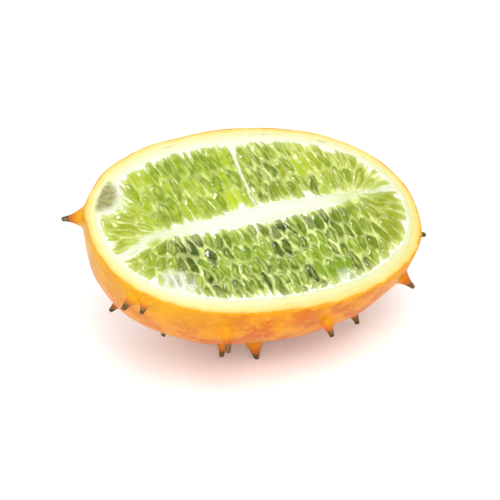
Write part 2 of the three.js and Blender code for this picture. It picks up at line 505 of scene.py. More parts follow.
@dataclass(frozen=True)
class Pose:
    """How the half lies: the cut face leans, the long axis dips, and the whole stands at a place."""

    lean: float = math.radians(17.0)
    dip: float = math.radians(6.0)
    axis_height: float = 44.8
    shift: FlatPlace = (0.0, 0.0)
    settling_rings: int = 60

    @classmethod
    def settled(cls, fruit: FruitShape, inset: float) -> "Pose":
        """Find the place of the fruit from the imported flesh.

        Args:
            fruit: The fruit's body.
            inset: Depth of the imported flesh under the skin.

        Returns:
            The pose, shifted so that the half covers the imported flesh.
        """
        loose = cls()
        disk = disk_rings(loose.settling_rings, RIM_POINTS)
        turned = fruit.on_skin(disk_directions(disk), inset) @ loose.turn().T
        middle = 0.5 * (turned.min(axis=0) + turned.max(axis=0))
        low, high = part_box(FLESH_NODE)
        packed = [0.5 * (low[axis] + high[axis]) / MM for axis in range(2)]
        return cls(shift=(packed[0] - middle[0], packed[1] - middle[1]))

    def turn(self) -> Array:
        """Work out how the fruit's frame is turned.

        Returns:
            The matrix that turns the fruit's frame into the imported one.
        """
        lean_cos, lean_sin = math.cos(self.lean), math.sin(self.lean)
        dip_cos, dip_sin = math.cos(self.dip), math.sin(self.dip)
        lean = np.array([[1, 0, 0], [0, lean_cos, -lean_sin], [0, lean_sin, lean_cos]])
        dip = np.array([[dip_cos, 0, dip_sin], [0, 1, 0], [-dip_sin, 0, dip_cos]])
        return lean @ dip

    def place(self, points: Array) -> Array:
        """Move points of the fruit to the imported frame, none below the surface that it lies on.

        Args:
            points: Points in the fruit's frame.

        Returns:
            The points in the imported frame, in millimetres.
        """
        placed = points @ self.turn().T + np.array([*self.shift, self.axis_height])
        placed[:, 2] = np.maximum(placed[:, 2], 0.0)
        return placed

    def height_of(self, point: Array) -> float:
        """Give a point's height over the surface that the fruit lies on."""
        return float(self.axis_height + self.turn()[2] @ point)


class MeshDraft:
    """Patches of a closed mesh, in the fruit's frame, with values at their points."""

    def __init__(self) -> None:
        """Start with nothing."""
        self.points: list[Array] = []
        self.faces: list[list[int]] = []
        self.values: dict[str, list[Array]] = {}
        self.count = 0

    def add(self, points: Array, faces: Array, **values: Array | float) -> None:
        """Add a patch. Points that fall on those of another patch are joined with them later.

        Args:
            points: Points of the patch.
            faces: Rows of point numbers in the patch.
            **values: Named values, one for each point or one for all.
        """
        self.points.append(points)
        self.faces.extend((faces + self.count).tolist())
        self.count += len(points)
        for name, value in values.items():
            self.values.setdefault(name, []).append(np.broadcast_to(value, len(points)))

    def add_bowl(self, edge: Array, floor: Array, faces: Array, **values: float) -> None:
        """Close the space under an edge with upright sides and a floor.

        Args:
            edge: Points of the edge.
            floor: Points of the floor, those under the edge first.
            faces: Rows of point numbers in the floor.
            **values: Named values, one for all points.
        """
        count = len(edge)
        self.add(np.concatenate((edge, floor[:count])), strip(count, 0, count), **values)
        self.add(floor, faces, **values)

    def build(self, name: str, pose: Pose, material: bpy.types.Material) -> bpy.types.Object:
        """Join the patches into one smooth mesh that faces outward.

        Args:
            name: Name of the piece.
            pose: How the fruit lies.
            material: Finish of the piece.

        Returns:
            The piece, in the scene.
        """
        mesh = bpy.data.meshes.new(name)
        placed = pose.place(np.concatenate(self.points)) * MM
        mesh.from_pydata(placed.tolist(), [], self.faces)
        for value_name, parts in self.values.items():
            layer = mesh.attributes.new(value_name, "FLOAT", "POINT")
            layer.data.foreach_set("value", np.concatenate(parts).astype(np.float32))
        shell = bmesh.new()
        shell.from_mesh(mesh)
        bmesh.ops.remove_doubles(shell, verts=shell.verts, dist=MERGE_DISTANCE * MM)
        bmesh.ops.recalc_face_normals(shell, faces=shell.faces)
        open_edges = sum(1 for edge in shell.edges if not edge.is_manifold)
        shell.to_mesh(mesh)
        shell.free()
        mesh.shade_smooth()
        mesh.set_sharp_from_angle(angle=SHARP_ANGLE)
        mesh.materials.append(material)
        LOG.info("%s: %d faces, %d open edges", name, len(mesh.polygons), open_edges)
        return add_object(name, mesh)


class Value:
    """A shader socket that can be used in sums."""

    def __init__(self, shader: "Shader", socket: bpy.types.NodeSocket | None) -> None:
        """Wrap an output socket of a shader's node, or nothing for a node that has none."""
        self.shader = shader
        self.socket = socket

    def _math(self, operation: str, first: "Value | float", second: "Value | float") -> "Value":
        """Add a Math node."""
        return self.shader.node("ShaderNodeMath", {"operation": operation}, {0: first, 1: second})

    def __add__(self, other: "Value | float") -> "Value":
        """Add."""
        return self._math("ADD", self, other)

    def __radd__(self, other: float) -> "Value":
        """Add to a number."""
        return self._math("ADD", other, self)

    def __sub__(self, other: "Value | float") -> "Value":
        """Take away."""
        return self._math("SUBTRACT", self, other)

    def __rsub__(self, other: float) -> "Value":
        """Take away from a number."""
        return self._math("SUBTRACT", other, self)

    def __mul__(self, other: "Value | float") -> "Value":
        """Multiply."""
        return self._math("MULTIPLY", self, other)

    def __rmul__(self, other: float) -> "Value":
        """Multiply a number."""
        return self._math("MULTIPLY", other, self)


class Shader:
    """A material's node tree, built from expressions."""

    # Sockets of a Mix node that mixes colours
    MIX_SHARE = 0
    MIX_FIRST = 6
    MIX_SECOND = 7
    MIX_RESULT = 2

    def __init__(self, name: str) -> None:
        """Make an empty material.

        Args:
            name: Name of the material.
        """
        self.material = bpy.data.materials.new(name)
        self.material.use_nodes = True
        self.tree = self.material.node_tree
        self.tree.nodes.clear()

    def node(
        self,
        kind: str,
        settings: dict[str, object] | None = None,
        inputs: dict[str | int, object] | None = None,
        output: int | str = 0,
    ) -> Value:
        """Add a node.

        Args:
            kind: Type of the node.
            settings: Properties of the node, which are set first. "stops" are a colour ramp's.
            inputs: Values or links of its sockets, by name or number.
            output: The output that is handed back.

        Returns:
            That output, where the node has one.
        """
        made = self.tree.nodes.new(kind)
        for key, setting in (settings or {}).items():
            if key == "stops":
                self._set_stops(made.color_ramp, setting)
            else:
                setattr(made, key, setting)
        for key, value in (inputs or {}).items():
            if isinstance(value, Value):
                self.tree.links.new(value.socket, made.inputs[key])
            else:
                made.inputs[key].default_value = value
        return Value(self, made.outputs[output] if made.outputs else None)

    @staticmethod
    def _set_stops(ramp: bpy.types.ColorRamp, stops: list[tuple[float, Colour]]) -> None:
        """Give a colour ramp its stops.

        Args:
            ramp: The ramp.
            stops: Position and colour of each stop.
        """
        while len(ramp.elements) < len(stops):
            ramp.elements.new(1.0)
        for element, (position, colour) in zip(ramp.elements, stops):
            element.position = position
            element.color = colour

    def point_value(self, name: str) -> Value:
        """Read a value that the mesh holds at its points."""
        return self.node("ShaderNodeAttribute", {"attribute_name": name}, output="Fac")

    def smooth(self, value: Value, span: Span) -> Value:
        """Rise smoothly from 0 at the start of a span to 1 at its end, which may be the lower one."""
        inputs = {"Value": value, "From Min": span[0], "From Max": span[1]}
        return self.node("ShaderNodeMapRange", {"interpolation_type": "SMOOTHSTEP"}, inputs)

    def mix(self, share: Value, first: Value | Colour, second: Value | Colour) -> Value:
        """Mix two colours."""
        inputs = {self.MIX_SHARE: share, self.MIX_FIRST: first, self.MIX_SECOND: second}
        return self.node("ShaderNodeMix", {"data_type": "RGBA"}, inputs, self.MIX_RESULT)

    def noise(self, size: float, detail: float, stretch: Place | None = None) -> Value:
        """Add noise in the piece's own space.

        Args:
            size: Width of a patch of it, in millimetres.
            detail: Number of finer layers.
            stretch: How many times longer a patch is along each axis, where it is.

        Returns:
            A value of about 0.3 to 0.7.
        """
        space = self.node("ShaderNodeTexCoord", output="Object")
        if stretch is not None:
            scale = tuple(1.0 / length for length in stretch)
            space = self.node("ShaderNodeMapping", {}, {"Vector": space, "Scale": scale})
        inputs = {"Vector": space, "Scale": 1.0 / (size * MM), "Detail": detail}
        return self.node("ShaderNodeTexNoise", {}, inputs)

    def bump(self, height: Value, depth: float, strength: float) -> Value:
        """Turn a height of 0 to 1 into a normal, from the depth of the whole height in millimetres."""
        inputs = {"Height": height, "Distance": depth * MM, "Strength": strength}
        return self.node("ShaderNodeBump", {}, inputs)

    def finish(self, inputs: dict[str | int, object]) -> bpy.types.Material:
        """Add the surface and the output.

        Args:
            inputs: Sockets of the principled surface.

        Returns:
            The material.
        """
        surface = self.node("ShaderNodeBsdfPrincipled", {}, inputs)
        self.node("ShaderNodeOutputMaterial", {}, {"Surface": surface})
        return self.material


@dataclass(frozen=True)
class Patches:
    """Noise cut to patches: a patch's width in millimetres, its finer layers and its soft edge."""

    size: float
    detail: float
    edge: Span

    def mask(self, shader: Shader) -> Value:
        """Give 1 in the patches and 0 between them."""
        return shader.smooth(shader.noise(self.size, self.detail), self.edge)


@dataclass(frozen=True)
class CutColours:
    """Colours across the cut wall, from the skin inward, deeper yellow where the fruit is ripe."""

    skin: Colour = linear(200, 132, 26)
    yellow: Colour = linear(206, 185, 98)
    pale_yellow: Colour = linear(208, 202, 138)
    cream: Colour = linear(213, 210, 164)
    white: Colour = linear(212, 215, 198)
    stops: tuple[float, ...] = (0.02, 0.08, 0.24, 0.46, 0.80)
    reach: float = 8.0
    ripe_stretch: float = 0.4
    wander_size: float = 5.0
    wander: float = 0.2

    def across(self, shader: Shader, inset: Value, ripe: Value) -> Value:
        """Colour the cut wall.

        Args:
            shader: The material.
            inset: Depth under the skin, in millimetres.
            ripe: Share of the deeper yellow.

        Returns:
            The colour.
        """
        wander = (shader.noise(self.wander_size, detail=3.0) - NOISE_MIDDLE) * self.wander
        share = inset * (1.0 - ripe * self.ripe_stretch) * (1.0 / self.reach) + wander
        colours = (self.skin, self.yellow, self.pale_yellow, self.cream, self.white)
        return shader.node("ShaderNodeValToRGB", {"stops": list(zip(self.stops, colours))}, {"Fac": share})


@dataclass(frozen=True)
class RindFinish:
    """Waxy orange skin with yellow mottling and a painted golden sheen, brown corky horn tips and a yellow
    cut edge.
    """

    orange: Colour = linear(208, 134, 0)
    deep: Colour = linear(187, 80, 0)
    painted_sheen: Colour = linear(208, 159, 22)
    fleck: Colour = linear(214, 162, 40)
    flank: Colour = linear(178, 86, 34)
    tip: Colour = linear(80, 56, 22)
    tip_grey: Colour = linear(124, 110, 74)
    cut: CutColours = CutColours()
    clouds: Patches = Patches(8.0, 5.0, (0.38, 0.62))
    specks: Patches = Patches(1.7, 3.0, (0.55, 0.68))
    speck_share: float = 0.55
    painted_sheen_ragged: float = 0.3
    painted_sheen_edge: Span = (0.0, 1.1)
    painted_sheen_share: float = 0.65
    flank_edge: Span = (0.15, 0.6)
    flank_share: float = 0.85
    cork_size: float = 0.7
    cork_ragged: float = 0.5
    cork_edge: Span = (0.54, 0.72)
    tip_grey_edge: Span = (0.42, 0.66)
    cut_edge: Span = (0.1, 0.34)
    pore_size: float = 0.55
    skin_relief: float = 0.35
    cork_relief: float = 0.65
    speck_relief: float = 0.2
    roughness: float = 0.36
    cork_roughness: float = 0.4
    pore_roughness: float = 0.2
    cut_gloss: float = 0.06
    coat: float = 0.08

    def material(self) -> bpy.types.Material:
        """Make the material.

        Returns:
            The material.
        """
        shader = Shader("waxy_orange_rind")
        horn = shader.point_value("horn")
        inset = shader.point_value("inset")
        clouds = self.clouds.mask(shader)
        specks = self.specks.mask(shader)
        cork = shader.noise(self.cork_size, detail=4.0)
        pores = shader.noise(self.pore_size, detail=3.0)
        corky = shader.smooth(horn + (cork - NOISE_MIDDLE) * self.cork_ragged, self.cork_edge)
        is_cut = shader.smooth(inset, self.cut_edge)
        skin = shader.mix(clouds, self.orange, self.deep)
        skin = shader.mix(specks * self.speck_share, skin, self.fleck)
        # Painted sheen: the skin is mixed towards golden near the cut edge and the left end, standing in for
        # light that falls there
        rim = shader.point_value("rim") + (clouds - NOISE_MIDDLE) * self.painted_sheen_ragged
        skin = shader.mix(shader.smooth(rim, self.painted_sheen_edge) * self.painted_sheen_share, skin, self.painted_sheen)
        skin = shader.mix(shader.smooth(horn, self.flank_edge) * self.flank_share, skin, self.flank)
        tips = shader.mix(shader.smooth(cork, self.tip_grey_edge), self.tip, self.tip_grey)
        skin = shader.mix(corky, skin, tips)
        wall = self.cut.across(shader, inset, shader.point_value("ripe"))
        relief = pores * (self.skin_relief + corky * self.cork_relief) + specks * self.speck_relief
        roughness = self.roughness + corky * self.cork_roughness - is_cut * self.cut_gloss
        return shader.finish(
            {
                "Base Color": shader.mix(is_cut, skin, wall),
                "Roughness": roughness + (pores - NOISE_MIDDLE) * self.pore_roughness,
                "Specular IOR Level": 0.1,
                "Coat Weight": (1.0 - corky) * self.coat,
                "Coat Roughness": 0.2,
                "Subsurface Weight": 0.12,
                "Subsurface Radius": (2.0, 0.9, 0.3),
                "Subsurface Scale": MM,
                "Normal": shader.bump(relief, depth=0.22, strength=0.55),
            }
        )


@dataclass(frozen=True)
class FleshFinish:
    """Moist white flesh, cream towards the rind and greenish where it meets the pulp."""

    green: Colour = linear(185, 198, 128)
    stalk: Colour = linear(144, 144, 78)
    faded: Colour = linear(180, 192, 92)
    stalk_line: Colour = linear(113, 99, 66)
    cut: CutColours = CutColours()
    fibre_size: float = 0.9
    fibre_stretch: Place = (6.0, 1.0, 1.0)
    fibre_edge: Span = (0.5, 0.7)
    fibre_share: float = 0.18
    green_ragged: float = 2.4
    green_edge: Span = (3.0, -0.2)
    green_share: float = 0.12
    ripe_green_share: float = 0.35
    line_size: float = 2.6
    line_edge: Span = (0.003, 0.0)
    line_share: float = 0.7
    fade_share: float = 0.4
    fibre_fade_share: float = 0.6
    roughness: float = 0.36
    fibre_roughness: float = 0.3

    def material(self) -> bpy.types.Material:
        """Make the material.

        Returns:
            The material.
        """
        shader = Shader("moist_white_flesh")
        stalk = shader.point_value("stalk")
        ripe = shader.point_value("ripe")
        fibres = shader.noise(self.fibre_size, detail=4.0, stretch=self.fibre_stretch)
        colour = self.cut.across(shader, shader.point_value("inset"), ripe)
        from_pulp = shader.point_value("from_pulp") + (fibres - NOISE_MIDDLE) * self.green_ragged
        greenish = shader.smooth(from_pulp, self.green_edge)
        colour = shader.mix(greenish * (self.green_share + ripe * self.ripe_green_share), colour, self.green)
        colour = shader.mix(shader.smooth(fibres, self.fibre_edge) * self.fibre_share, colour, self.green)
        fade = shader.point_value("fade") * (self.fade_share + fibres * self.fibre_fade_share)
        colour = shader.mix(fade, colour, self.faded)
        swirl = shader.noise(self.line_size, detail=3.0) - NOISE_MIDDLE
        lines = shader.smooth(swirl * swirl, self.line_edge)
        colour = shader.mix(stalk, colour, self.stalk)
        colour = shader.mix(stalk * lines * self.line_share, colour, self.stalk_line)
        return shader.finish(
            {
                "Base Color": colour,
                "Roughness": self.roughness + (fibres - NOISE_MIDDLE) * self.fibre_roughness,
                "Coat Weight": 0.25,
                "Coat Roughness": 0.18,
                "Subsurface Weight": 0.35,
                "Subsurface Radius": (2.0, 1.9, 1.2),
                "Subsurface Scale": MM,
                "Normal": shader.bump(fibres, depth=0.25, strength=0.6),
            }
        )


@dataclass(frozen=True)
class PulpFinish:
    """Wet green jelly in sacs, with pale skins between them and a pale seed in each."""

    name: str
    dark: Colour = linear(36, 60, 0)
    bright: Colour = linear(112, 139, 12)
    ripe: Colour = linear(136, 148, 0)
    skin: Colour = linear(196, 205, 124)
    seed: Colour = linear(174, 187, 84)
    white: Colour = linear(212, 215, 198)
    grain_size: float = 0.55
    cloud_size: float = 2.2
    cloud_tone: float = 1.3
    ripe_share: float = 0.75
    seed_share: float = 0.6
    skin_ragged: float = 0.6
    skin_edge: Span = (0.5, 0.9)
    skin_share: float = 1.0
    streak_ragged: float = 0.3
    streak_edge: Span = (0.46, 0.74)
    streak_share: float = 0.25
    mist_share: float = 0.5
    white_ragged: float = 0.5
    white_edge: Span = (0.15, 0.85)
    plain_skin_share: float = 0.5
    fibre_skin_share: float = 0.5
    roughness: float = 0.22
    skin_roughness: float = 0.15
    grain_roughness: float = 0.15
    coat: float = 0.5
    white_coat_loss: float = 0.25

    def material(self) -> bpy.types.Material:
        """Make the material.

        Returns:
            The material.
        """
        shader = Shader(self.name)
        grain = shader.noise(self.grain_size, detail=3.0)
        clouds = shader.noise(self.cloud_size, detail=2.0) - NOISE_MIDDLE
        rough_grain = grain - NOISE_MIDDLE
        tone = shader.point_value("sac_tone") + clouds * self.cloud_tone
        jelly = shader.mix(tone, self.dark, self.bright)
        jelly = shader.mix(shader.point_value("ripe") * self.ripe_share, jelly, self.ripe)
        jelly = shader.mix(shader.point_value("sac_seed") * self.seed_share, jelly, self.seed)
        skins = shader.smooth(shader.point_value("sac_edge") + clouds * self.skin_ragged, self.skin_edge)
        streaks = shader.point_value("streak") + rough_grain * self.streak_ragged
        fibres = shader.smooth(streaks, self.streak_edge)
        skin_share = (self.plain_skin_share + fibres * self.fibre_skin_share) * self.skin_share
        pale = skins * skin_share + fibres * self.streak_share
        pale = pale + shader.point_value("mist") * self.mist_share
        colour = shader.mix(pale, jelly, self.skin)
        film = shader.point_value("white") + rough_grain * self.white_ragged
        whiteness = shader.smooth(film, self.white_edge)
        roughness = self.roughness + skins * self.skin_roughness
        return shader.finish(
            {
                "Base Color": shader.mix(whiteness, colour, self.white),
                "Roughness": roughness + rough_grain * self.grain_roughness,
                "Specular IOR Level": 0.0,
                "Coat Weight": self.coat - whiteness * self.white_coat_loss,
                "Coat Roughness": 0.07,
                "Subsurface Weight": 0.2,
                "Subsurface Radius": (0.6, 0.7, 0.2),
                "Subsurface Scale": MM,
                "Normal": shader.bump(grain, depth=0.14, strength=0.5),
            }
        )


GREEN_JELLY = PulpFinish("green_jelly")
LIME_JELLY = PulpFinish(
    "lime_jelly",
    dark=linear(106, 130, 4),
    bright=linear(163, 181, 31),
    skin_share=0.7,
)
PALE_JELLY = PulpFinish(
    "pale_jelly",
    dark=linear(90, 112, 7),
    bright=linear(154, 170, 38),
    streak_share=0.55,
)


@dataclass(frozen=True)
class FloorFinish:
    """Matte white board, lit from below as a photographer's table is."""

    white: Colour = (0.93, 0.93, 0.93, 1.0)
    shade: Colour = (0.91, 0.91, 0.91, 1.0)
    light: Colour = (1.0, 1.0, 1.0, 1.0)
    glow: float = 0.08
    cloud_size: float = 60.0
    roughness: float = 0.6
    cloud_roughness: float = 0.2

    def material(self) -> bpy.types.Material:
        """Make the material.

        Returns:
            The material.
        """
        shader = Shader("glowing_white_board")
        clouds = shader.noise(self.cloud_size, detail=3.0)
        return shader.finish(
            {
                "Base Color": shader.mix(clouds, self.white, self.shade),
                "Roughness": self.roughness + clouds * self.cloud_roughness,
                "Emission Color": self.light,
                "Emission Strength": self.glow,
            }
        )


@dataclass(frozen=True)
class Horn:
    """One horn: its root on the skin, the way it points, and its flared flank."""

    root: Array
    direction: Array
    height: float
    root_radius: float
    tip_radius: float = 0.75
    tip_rounding: float = 0.35
    taper: float = 1.7
    bury: float = 0.9
    least_side: float = 0.3

    def level_at(self, radial: Array) -> Array:
        """Give the level of the flank over the root.

        Args:
            radial: Distances from the horn's axis.

        Returns:
            The level at each distance.
        """
        share = np.maximum(radial - self.tip_radius, 0.0) / (self.root_radius - self.tip_radius)
        rise = 1.0 - share ** (1.0 / self.taper)
        rounding = self.tip_rounding * np.maximum(1.0 - radial / self.tip_radius, 0.0)
        return rise * (self.height + self.bury) - self.bury + rounding

    def coordinates(self, points: Array) -> tuple[Array, Array]:
        """Measure where points lie from the horn.

        Args:
            points: Points near the horn.

        Returns:
            Their levels along the horn's axis and their distances from it.
        """
        offsets = points - self.root
        along = offsets @ self.direction
        return along, np.linalg.norm(offsets - along[:, None] * self.direction, axis=1)

    def ring(self, radius: float, count: int, turn: float) -> Array:
        """Place points round the root, square to the horn's axis.

        Args:
            radius: Radius of the ring.
            count: Number of points.
            turn: Share of a step that the ring is turned by.

        Returns:
            The points.
        """
        side = np.cross(self.direction, (1.0, 0.0, 0.0))
        if np.linalg.norm(side) < self.least_side:
            side = np.cross(self.direction, (0.0, 1.0, 0.0))
        side = side / np.linalg.norm(side)
        up = np.cross(self.direction, side)
        flat = radius * circle(count, turn)
        return self.root + flat[:, :1] * side + flat[:, 1:] * up


@dataclass(frozen=True)
class HornRow:
    """A row of horns: its angle round the fruit from straight below, the horns' height and places."""

    angle: float
    height: float
    at: tuple[float, ...]


@dataclass(frozen=True)
class HornField:
    """The rule that places horns in rows along the fruit, the same as in the solids."""

    rows: tuple[HornRow, ...]
    seed: int
    height_varies: float = 0.15
    root_share: float = 0.6
    shift: float = 1.6
    turn: float = 3.0
    tilt: float = 0.12
    foot_trim: float = 0.8
    foot_reach: float = 1.2

    def horns(self, fruit: FruitShape, pose: Pose) -> list[Horn]:
        """Place the horns.

        Args:
            fruit: The fruit's body.
            pose: How the fruit lies.

        Returns:
            The horns, of which those that reach the surface stand on it.
        """
        stream = Stream(self.seed)
        planned = []
        for row in self.rows:
            for place in row.at:
                x = place + self.shift * stream.either()
                angle = math.radians(row.angle + self.turn * stream.either())
                planned.append((x, angle, row.height * (1.0 + self.height_varies * stream.either())))
        horns = []
        for x, angle, height in planned:
            radius = float(fruit.radius_at(np.array(x)))
            root = np.array([x, radius * math.sin(angle), -radius * math.cos(angle)])
            lean = self.tilt * np.array([stream.either(), stream.either(), stream.either()])
            direction = fruit.normal_at(root[None, :])[0] + lean
            direction = direction / np.linalg.norm(direction)
            tip_height = pose.height_of(root + height * direction)
            root_radius = self.root_share * height
            if tip_height < self.foot_reach:
                root_height = pose.height_of(root)
                height *= (root_height + self.foot_trim) / (root_height - tip_height)
            horns.append(Horn(root, direction, height, root_radius))
        return horns


HORN_ROWS = HornField(
    rows=(
        HornRow(angle=-73.0, height=5.6, at=(-49.0, -20.0, 15.0, 45.0)),
        HornRow(angle=-32.0, height=8.0, at=(-1.0, 33.0, 54.5)),
        HornRow(angle=-2.0, height=8.0, at=(-41.0, -13.0, 17.0, 44.0)),
        HornRow(angle=22.0, height=8.0, at=(-28.0, 2.0, 31.0)),
        HornRow(angle=47.0, height=8.0, at=(-40.0, -12.0, 17.0, 46.0)),
        HornRow(angle=72.0, height=8.0, at=(-54.0, -28.0, 1.0, 31.0)),
    ),
    seed=11,
)
ODD_HORNS = HornField(
    rows=(
        HornRow(angle=-82.0, height=4.6, at=(-46.0,)),
        HornRow(angle=-33.0, height=6.4, at=(-13.0,)),
        HornRow(angle=-13.0, height=5.6, at=(-27.0,)),
    ),
    seed=5,
)


@dataclass(frozen=True)
class CutFace:
    """The cut face: a plane with the slight waves that a knife leaves, ripest towards one side."""

    wave: Wave = Wave(0.3, 32.0, NoiseField.CUT_FACE)
    ripe_side: float = math.radians(-58.0)
    ripe_span: Span = (-0.1, 0.9)

    def level(self, points: Array) -> Array:
        """Give the face's level at flat points."""
        return self.wave.at(points)

    def raised(self, points: Array) -> Array:
        """Give flat points their level on the face."""
        return np.column_stack((points, self.level(points)))

    def ripeness(self, points: Array) -> Array:
        """Give the share of deeper yellow at points, by the way that they lie from the middle."""
        angles = np.arctan2(points[:, 1], points[:, 0]) - self.ripe_side
        return smooth_step(self.ripe_span, np.cos(angles))


@dataclass
class Rind:
    """Skin with its horns, and the cut edge."""

    fruit: FruitShape
    pose: Pose
    face: CutFace
    finish: RindFinish = RindFinish()
    fields: tuple[HornField, ...] = (HORN_ROWS, ODD_HORNS)
    thickness: float = RIND_THICKNESS

    # Points of the skin and of the horns
    skin_rings: int = 50
    rim_limit: float = 0.982
    horn_rings: tuple[float, ...] = (
        0.3, 0.55, 0.75, 0.92, 1.15, 1.45, 1.85, 2.35, 2.95, 3.65, 4.45, 5.3, 6.3, 7.4,
    )
    horn_spokes: int = 22
    horn_clear: float = 0.7
    horn_reach: float = 9.0

    # Form of the skin, the horns and the cut edge
    horn_fade: float = 0.7
    horn_fillet: float = 0.8
    horn_ripple: Wave = Wave(0.12, 1.3, NoiseField.HORN_RIPPLE)
    ripple_span: Span = (0.2, 1.5)
    lumps: Wave = Wave(0.55, 13.0, NoiseField.LUMPS)
    fine_lumps: Wave = Wave(0.13, 4.5, NoiseField.FINE_LUMPS)
    edge_round: float = 0.3
    cut_rings: tuple[float, ...] = (0.12, 0.35, 0.8, 1.4, 2.1, RIND_THICKNESS)

    # Where the painted golden sheen lies on the skin and where it stays orange
    rim_fade: float = 22.0
    orange_share: float = 0.75
    orange_span: Span = (-46.0, -8.0)

    def build(self) -> bpy.types.Object:
        """Build and dress the rind.

        Returns:
            The piece.
        """
        draft = MeshDraft()
        outer_rim = self._add_skin(draft)
        self._add_cut_edge(draft, outer_rim)
        self._add_inside(draft)
        return draft.build("horned_rind", self.pose, self.finish.material())

    def _disk(self, horns: list[Horn]) -> Array:
        """Place the skin's points on the unit disk, closer together on the horns.

        Args:
            horns: The horns.

        Returns:
            The points, those of the rim first.
        """
        disk = disk_rings(self.skin_rings, RIM_POINTS)
        points = self.fruit.on_skin(disk_directions(disk))
        clear = np.ones(len(disk), dtype=bool)
        rings = []
        for horn in horns:
            along, radial = horn.coordinates(points)
            clear &= (radial > self.horn_rings[-1] + self.horn_clear) | (np.abs(along) > self.horn_reach)
            rings.append(horn.root[None, :])
            for number, radius in enumerate(self.horn_rings):
                rings.append(horn.ring(radius, self.horn_spokes, 0.5 * (number % 2)))
        clear[:RIM_POINTS] = True
        extra = directions_disk(self.fruit.direction_of(np.concatenate(rings)))
        extra = extra[np.linalg.norm(extra, axis=1) < self.rim_limit]
        return np.concatenate((disk[clear], extra))

    def _skin_points(self, disk: Array, horns: list[Horn]) -> tuple[Array, Array]:
        """Raise the lumps and the horns out of the skin.

        Args:
            disk: The skin's points on the unit disk.
            horns: The horns.

        Returns:
            The points, and at each the share of a horn's height.
        """
        points = self.fruit.on_skin(disk_directions(disk))
        normals = self.fruit.normal_at(points)
        lumps = self.lumps.at(points) + self.fine_lumps.at(points)
        raised = points + normals * lumps[:, None]
        share = np.zeros(len(points))
        highest = np.zeros(len(points))
        offsets = np.zeros(points.shape)
        for horn in horns:
            along, radial = horn.coordinates(points)
            gap = horn.level_at(radial) - along
            # A soft maximum leaves a fillet where the flank meets the skin
            lift = 0.5 * (gap + np.sqrt(gap * gap + self.horn_fillet**2))
            lift *= 1.0 - smooth_step((self.horn_fade * self.horn_reach, self.horn_reach), radial)
            close = (np.abs(along) < self.horn_reach) & (lift > highest)
            highest[close] = lift[close]
            ripple = self.horn_ripple.at(raised[close]) * smooth_step(self.ripple_span, lift[close])
            offsets[close] = lift[close, None] * horn.direction + ripple[:, None] * normals[close]
            share[close] = np.clip((along[close] + lift[close]) / horn.height, 0.0, 1.0)
        return raised + offsets, share

    def _add_skin(self, draft: MeshDraft) -> Array:
        """Add the outside.

        Args:
            draft: The mesh.

        Returns:
            The points of its rim.
        """
        horns = [horn for field in self.fields for horn in field.horns(self.fruit, self.pose)]
        disk = self._disk(horns)
        skin, share = self._skin_points(disk, horns)
        rim = skin[:RIM_POINTS]
        rim[:, 2] = self.face.level(rim[:, :2]) - self.edge_round
        # Painted sheen: its share rises towards the cut edge and is cut back towards the right end
        painted_sheen = smooth_step((-self.rim_fade, 0.0), skin[:, 2])
        painted_sheen *= 1.0 - self.orange_share * smooth_step(self.orange_span, skin[:, 0])
        faces = triangulate(disk, [], Inside.HULL)
        draft.add(skin, faces, horn=share, inset=0.0, ripe=self.face.ripeness(skin), rim=painted_sheen)
        return rim

    def _add_cut_edge(self, draft: MeshDraft, outer: Array) -> None:
        """Add the cut edge, ring by ring, from the skin to the flesh.

        Args:
            draft: The mesh.
            outer: Points of the skin's rim.
        """
        inner = self.face.raised(self.fruit.rim(self.thickness))
        rings = [outer]
        for inset in self.cut_rings:
            ring = outer + (inner - outer) * (inset / self.thickness)
            drop = self.edge_round * max(0.0, 1.0 - inset / self.cut_rings[1]) ** 2
            ring[:, 2] = self.face.level(ring[:, :2]) - drop
            rings.append(ring)
        points = np.concatenate(rings)
        insets = np.repeat((0.0, *self.cut_rings), RIM_POINTS)
        starts = RIM_POINTS * np.arange(len(rings))
        faces = np.concatenate([strip(RIM_POINTS, *pair) for pair in zip(starts, starts[1:])])
        draft.add(points, faces, horn=0.0, inset=insets, ripe=self.face.ripeness(points), rim=1.0)

    def _add_inside(self, draft: MeshDraft) -> None:
        """Add the inner surface, which the flesh hides.

        Args:
            draft: The mesh.
        """
        disk = disk_rings(INSIDE_RINGS, RIM_POINTS)
        points = self.fruit.on_skin(disk_directions(disk), self.thickness)
        points[:RIM_POINTS] = self.face.raised(self.fruit.rim(self.thickness))
        faces = triangulate(disk, [], Inside.HULL)
        ripe = self.face.ripeness(points)
        draft.add(points, faces, horn=0.0, inset=self.thickness, ripe=ripe, rim=1.0)


@dataclass(frozen=True)
class Septum:
    """A thin wall across a lobe, from the core to the outer wall, where it flares."""

    start: FlatPlace
    end: FlatPlace
    half_thick: float = 0.27
    flare: float = 7.0
    flare_power: float = 8.0
    feathered: bool = False

    def clearance(self, points: Array) -> Array:
        """Measure how far flat points lie from the septum's side.

        Args:
            points: Flat points of the cut face.

        Returns:
            The distance of each, positive outside the septum.
        """
        start, way = np.array(self.start), np.subtract(self.end, self.start)
        share = np.clip((points - start) @ way / (way @ way), 0.0, 1.0)
        apart = np.linalg.norm(points - start - share[:, None] * way, axis=1)
        return apart - self.half_thick - self.flare * share**self.flare_power


